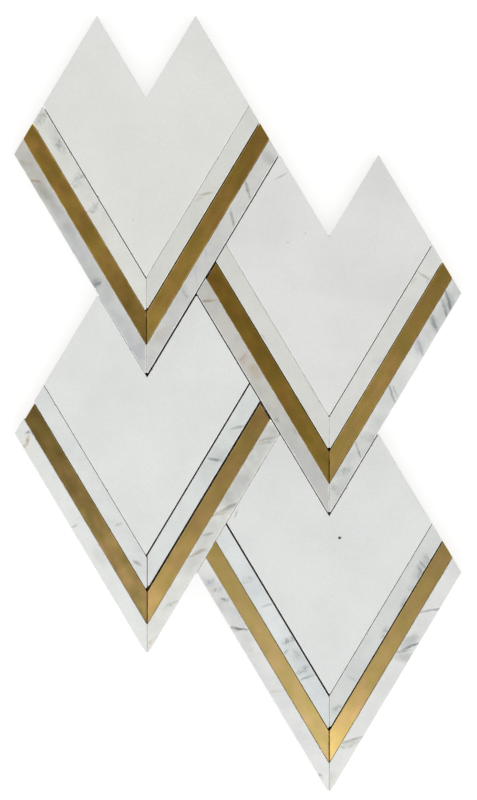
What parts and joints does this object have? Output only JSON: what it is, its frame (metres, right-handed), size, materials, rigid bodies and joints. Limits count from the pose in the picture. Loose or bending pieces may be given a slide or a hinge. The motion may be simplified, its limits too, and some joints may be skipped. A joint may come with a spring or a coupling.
{
  "type": "marble mosaic tile",
  "caption": "Sheet of interlocking chevron units on a mesh: plain white marble fields, each edged along its point with nested V strips of veined marble and brass.",
  "frame": {"origin": "middle of the sheet's outline, on the back face of the mesh", "axes": "+Z out of the finished face, +Y along the sheet towards the peaks, +X across the sheet"},
  "size_m": [0.277, 0.4794, 0.01],
  "materials": {
    "white_marble": "polished",
    "veined_marble": "polished",
    "brass": "brushed",
    "mesh": "woven"
  },
  "bodies": {
    "root": {"white_field_a": "white_marble", "inner_border_left_a": "veined_marble", "brass_bar_left_a": "brass", "outer_border_left_a": "veined_marble", "inner_border_right_a": "veined_marble", "brass_bar_right_a": "brass", "outer_border_right_a": "veined_marble", "white_field_b": "white_marble", "inner_border_left_b": "veined_marble", "brass_bar_left_b": "brass", "outer_border_left_b": "veined_marble", "inner_border_right_b": "veined_marble", "brass_bar_right_b": "brass", "outer_border_right_b": "veined_marble", "white_field_c": "white_marble", "inner_border_left_c": "veined_marble", "brass_bar_left_c": "brass", "outer_border_left_c": "veined_marble", "inner_border_right_c": "veined_marble", "brass_bar_right_c": "brass", "outer_border_right_c": "veined_marble", "white_field_d": "white_marble", "inner_border_left_d": "veined_marble", "brass_bar_left_d": "brass", "outer_border_left_d": "veined_marble", "inner_border_right_d": "veined_marble", "brass_bar_right_d": "brass", "outer_border_right_d": "veined_marble", "mesh_backing": "mesh"}
  },
  "joints": []
}
